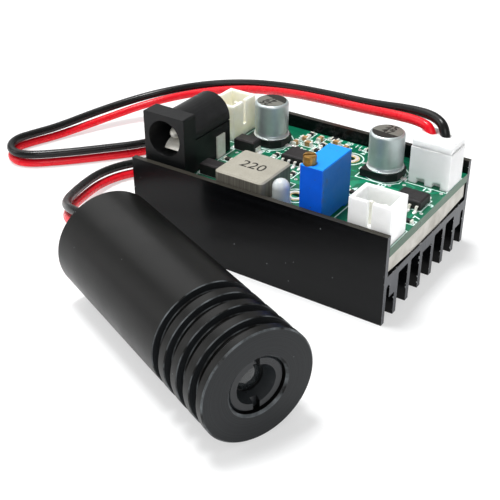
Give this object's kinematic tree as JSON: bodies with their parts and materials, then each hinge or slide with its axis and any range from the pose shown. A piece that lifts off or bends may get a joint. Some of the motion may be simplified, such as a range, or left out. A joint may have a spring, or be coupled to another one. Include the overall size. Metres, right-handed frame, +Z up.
{
  "type": "laser diode module",
  "caption": "Driver board with jack, trimmer and headers in a finned heat sink, wired to a turned cylindrical laser head with grooves and a focusing lens nut.",
  "frame": {"origin": "on the surface the module stands on, at the middle of the box round the heat sink and the laser head, wires left out", "axes": "+Z up; +X along the heat sink, from the jack's end to the pad's bright end; +Y from the heat sink's front wall, beside the head, to its back wall"},
  "size_m": [0.0966, 0.0917, 0.0258],
  "materials": {
    "anodised_black": "satin black anodised",
    "thermal_pad": "matte silicone",
    "board_green": "solder mask with white print",
    "gold_plate": "gold plated",
    "jack_black": "fine grain",
    "plated_metal": "tin plated",
    "inductor_grey": "pressed iron powder",
    "lamp_milky": "milky diffused resin",
    "trimmer_blue": "moulded",
    "brass": "turned",
    "capacitor_base": "moulded",
    "capacitor_can": "drawn aluminium with a printed black segment",
    "header_white": "moulded",
    "header_cream": "moulded",
    "chip_black": "moulded resin",
    "ceramic_tan": "ceramic",
    "diode_steel": "plated cap",
    "lens_glass": "polished",
    "grommet_black": "moulded",
    "black_insulation": "extruded",
    "red_insulation": "extruded",
    "copper": "bare strand"
  },
  "bodies": {
    "module": {"black_wire": "black_insulation", "cable_grommet": "grommet_black", "chip_capacitors": "ceramic_tan", "chip_ends": "plated_metal", "chip_resistors": "chip_black", "circuit_board": "board_green", "diode_holder": "brass", "diode_pins": "gold_plate", "driver_chip_body": "chip_black", "driver_chip_legs": "plated_metal", "front_header_pins": "plated_metal", "front_header_shell": "header_white", "heatsink": "anodised_black", "indicator_led": "lamp_milky", "inductor_body": "inductor_grey", "inductor_terminals": "plated_metal", "inner_leads": "copper", "input_diode_body": "chip_black", "input_diode_terminals": "plated_metal", "jack_centre_pin": "plated_metal", "jack_housing": "jack_black", "jack_side_tab": "plated_metal", "jack_spring_contact": "plated_metal", "laser_barrel": "anodised_black", "laser_diode": "diode_steel", "lead_plug": "header_white", "led_leads": "plated_metal", "left_capacitor_base": "capacitor_base", "left_capacitor_can": "capacitor_can", "left_capacitor_terminals": "plated_metal", "plug_contacts": "plated_metal", "rear_cap": "anodised_black", "rear_left_header_pins": "plated_metal", "rear_left_header_shell": "header_cream", "rear_right_header_pins": "plated_metal", "rear_right_header_shell": "header_white", "rectifier_body": "chip_black", "rectifier_terminals": "plated_metal", "red_wire": "red_insulation", "right_capacitor_base": "capacitor_base", "right_capacitor_can": "capacitor_can", "right_capacitor_terminals": "plated_metal", "ring_pads": "gold_plate", "switch_chip_body": "chip_black", "switch_chip_legs": "plated_metal", "thermal_pad": "thermal_pad", "trimmer_body": "trimmer_blue", "trimmer_pins": "plated_metal"},
    "adjusting_screw": {"trimmer_screw": "brass"},
    "lens_carrier": {"lens": "lens_glass"},
    "focus_nut": {"lens_nut": "anodised_black"}
  },
  "joints": [
    {"name": "trimmer_turn", "type": "hinge", "parent": "module", "child": "adjusting_screw", "pos_m": [0.00888, 0.00663, 0.0239], "axis": [0, 0, 1], "continuous": true},
    {"name": "focus_travel", "type": "slide", "parent": "module", "child": "lens_carrier", "axis": [0.9205, -0.3907, 0], "range_m": [-0.001, 0.001]},
    {"name": "focus_turn", "type": "hinge", "parent": "lens_carrier", "child": "focus_nut", "pos_m": [0.01944, -0.02687, 0.009], "axis": [0.9205, -0.3907, 0], "range_deg": [-720, 720]}
  ],
  "couplings": [
    {"joint": "focus_turn", "follows": "focus_travel", "rad_per_m": 12566}
  ]
}
